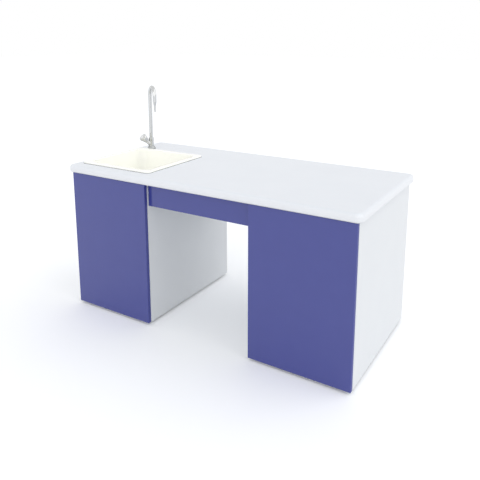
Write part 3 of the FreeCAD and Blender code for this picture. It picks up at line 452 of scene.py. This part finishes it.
def place_heads(name, body, slot, head, places):
    """One piece of equal heads. Each place is a point and the way that the head faces."""
    whole = bmesh.new()
    for point, facing in places:
        first = len(whole.verts)
        whole.from_mesh(head)
        whole.verts.ensure_lookup_table()
        turn = Vector(UPWARD).rotation_difference(Vector(facing)).to_matrix().to_4x4()
        stand = Matrix.Translation(Vector(point) * MM) @ turn
        bmesh.ops.transform(whole, matrix=stand, verts=whole.verts[first:])
    mesh = bpy.data.meshes.new(name)
    whole.to_mesh(mesh)
    whole.free()
    mesh.shade_smooth()
    mesh.set_sharp_from_angle(angle=math.radians(SHARP_ANGLE))
    mesh.materials.append(finishes[slot])
    piece = bpy.data.objects.new(name, mesh)
    bpy.context.scene.collection.objects.link(piece)
    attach(piece, body)


def add_fittings():
    cap = make_head(radius=8.5, height=1.2, bevel=0.6, dimple=3.0, depth=0.5, segments=32)
    screw = make_head(radius=3.6, height=1.8, bevel=0.9, dimple=1.5, depth=1.0, segments=24)
    place_heads("cam_caps", "desk", "white_plastic", cap, APRON_CAPS + FLOOR_CAPS + RAIL_CAPS)
    place_heads("fitting_screws", "desk", "zinc_steel", screw, LATCH_SCREWS + BLOCK_SCREWS + CLIP_SCREWS)
    place_heads("rail_screws", "drawer", "zinc_steel", screw, RAIL_SCREWS)
    bpy.data.meshes.remove(cap)
    bpy.data.meshes.remove(screw)


def seen_rays(tree):
    """1 for rays that see the stage straight on, in a gloss or through glass."""
    path = add_node(tree, "ShaderNodeLightPath")
    seen = path.outputs["Is Camera Ray"]
    for other in ("Is Glossy Ray", "Is Transmission Ray"):
        either = add_node(tree, "ShaderNodeMath", {0: seen, 1: path.outputs[other]}, operation="MAXIMUM")
        seen = either.outputs[0]
    return seen


def make_floor():
    shape = bmesh.new()
    bmesh.ops.create_grid(shape, x_segments=1, y_segments=1, size=FLOOR_SIZE / 2)
    mesh = bpy.data.meshes.new("floor")
    shape.to_mesh(mesh)
    shape.free()
    floor = bpy.data.objects.new("floor", mesh)
    bpy.context.scene.collection.objects.link(floor)
    paint = bpy.data.materials.new("pale_floor")
    paint.use_nodes = True
    tree = paint.node_tree
    tree.nodes.clear()
    seen = seen_rays(tree)
    tone = add_node(
        tree,
        "ShaderNodeMix",
        {"Factor": seen, COLOUR_A: linear(FLOOR_COLOUR), COLOUR_B: linear(FLOOR_SEEN_COLOUR)},
        data_type="RGBA",
    )
    matt = add_node(tree, "ShaderNodeBsdfDiffuse", {"Color": tone.outputs[COLOUR_RESULT]})
    lift = add_node(tree, "ShaderNodeMath", {0: seen, 1: FLOOR_LIFT}, operation="MULTIPLY")
    glow = add_node(tree, "ShaderNodeEmission", {"Strength": lift.outputs[0]})
    both = add_node(tree, "ShaderNodeAddShader", {0: matt.outputs[0], 1: glow.outputs[0]})
    add_node(tree, "ShaderNodeOutputMaterial", {"Surface": both.outputs[0]})
    mesh.materials.append(paint)


def add_lamp(name, level, spread, direction):
    """A broad soft lamp that shines along direction."""
    light = bpy.data.lights.new(name, "SUN")
    light.energy = level
    light.angle = math.radians(spread)
    lamp = bpy.data.objects.new(name, light)
    lamp.rotation_mode = "QUATERNION"
    lamp.rotation_quaternion = Vector(direction).to_track_quat("-Z", "Y")
    bpy.context.scene.collection.objects.link(lamp)


def light_studio():
    world = bpy.data.worlds.new("studio")
    bpy.context.scene.world = world
    world.use_nodes = True
    tree = world.node_tree
    tree.nodes.clear()
    level = add_node(
        tree,
        "ShaderNodeMapRange",
        {"Value": seen_rays(tree), "To Min": DOME_LEVEL, "To Max": SEEN_LEVEL},
    )
    dome = add_node(tree, "ShaderNodeBackground", {"Color": WHITE, "Strength": level.outputs["Result"]})
    add_node(tree, "ShaderNodeOutputWorld", {"Surface": dome.outputs[0]})
    add_lamp("key", KEY_LEVEL, KEY_SPREAD, KEY_DIRECTION)
    add_lamp("fill", FILL_LEVEL, FILL_SPREAD, FILL_DIRECTION)


def set_camera():
    lens = bpy.data.cameras.new("camera")
    lens.lens = CAMERA_LENS
    lens.sensor_width = SENSOR_WIDTH
    lens.shift_y = CAMERA_SHIFT
    lens.clip_end = SIGHT_LIMIT
    camera = bpy.data.objects.new("camera", lens)
    camera.location = CAMERA_PLACE
    camera.rotation_euler = (math.radians(90 - CAMERA_PITCH), 0.0, math.radians(CAMERA_YAW))
    bpy.context.scene.collection.objects.link(camera)
    bpy.context.scene.camera = camera


add_fittings()
make_floor()
light_studio()
set_camera()
bpy.context.scene.view_settings.view_transform = "Standard"
